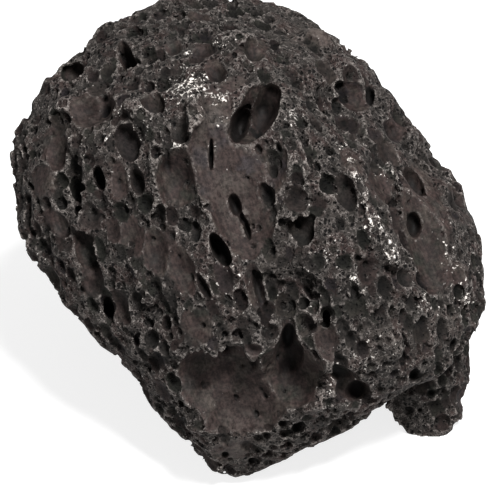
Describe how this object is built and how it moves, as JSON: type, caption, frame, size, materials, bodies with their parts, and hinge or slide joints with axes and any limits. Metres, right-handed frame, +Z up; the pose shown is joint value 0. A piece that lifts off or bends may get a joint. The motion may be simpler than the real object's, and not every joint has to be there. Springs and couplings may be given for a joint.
{
  "type": "lava rock",
  "caption": "Rough lava rock: one piece of dark vesicular basalt with a broad pitted face, a side lobe and a flat broken base.",
  "frame": {"origin": "on the flat base that the rock rests on, below the middle of its show face", "axes": "+Z up from the base, +Y towards the back, the show face leans back and faces -Y and up, +X to its right and along the rock's longest extent"},
  "size_m": [0.1424, 0.135, 0.1155],
  "materials": {
    "stone": "rough, dull, full of gas bubbles"
  },
  "bodies": {
    "root": {"lava_rock": "stone"}
  },
  "joints": []
}
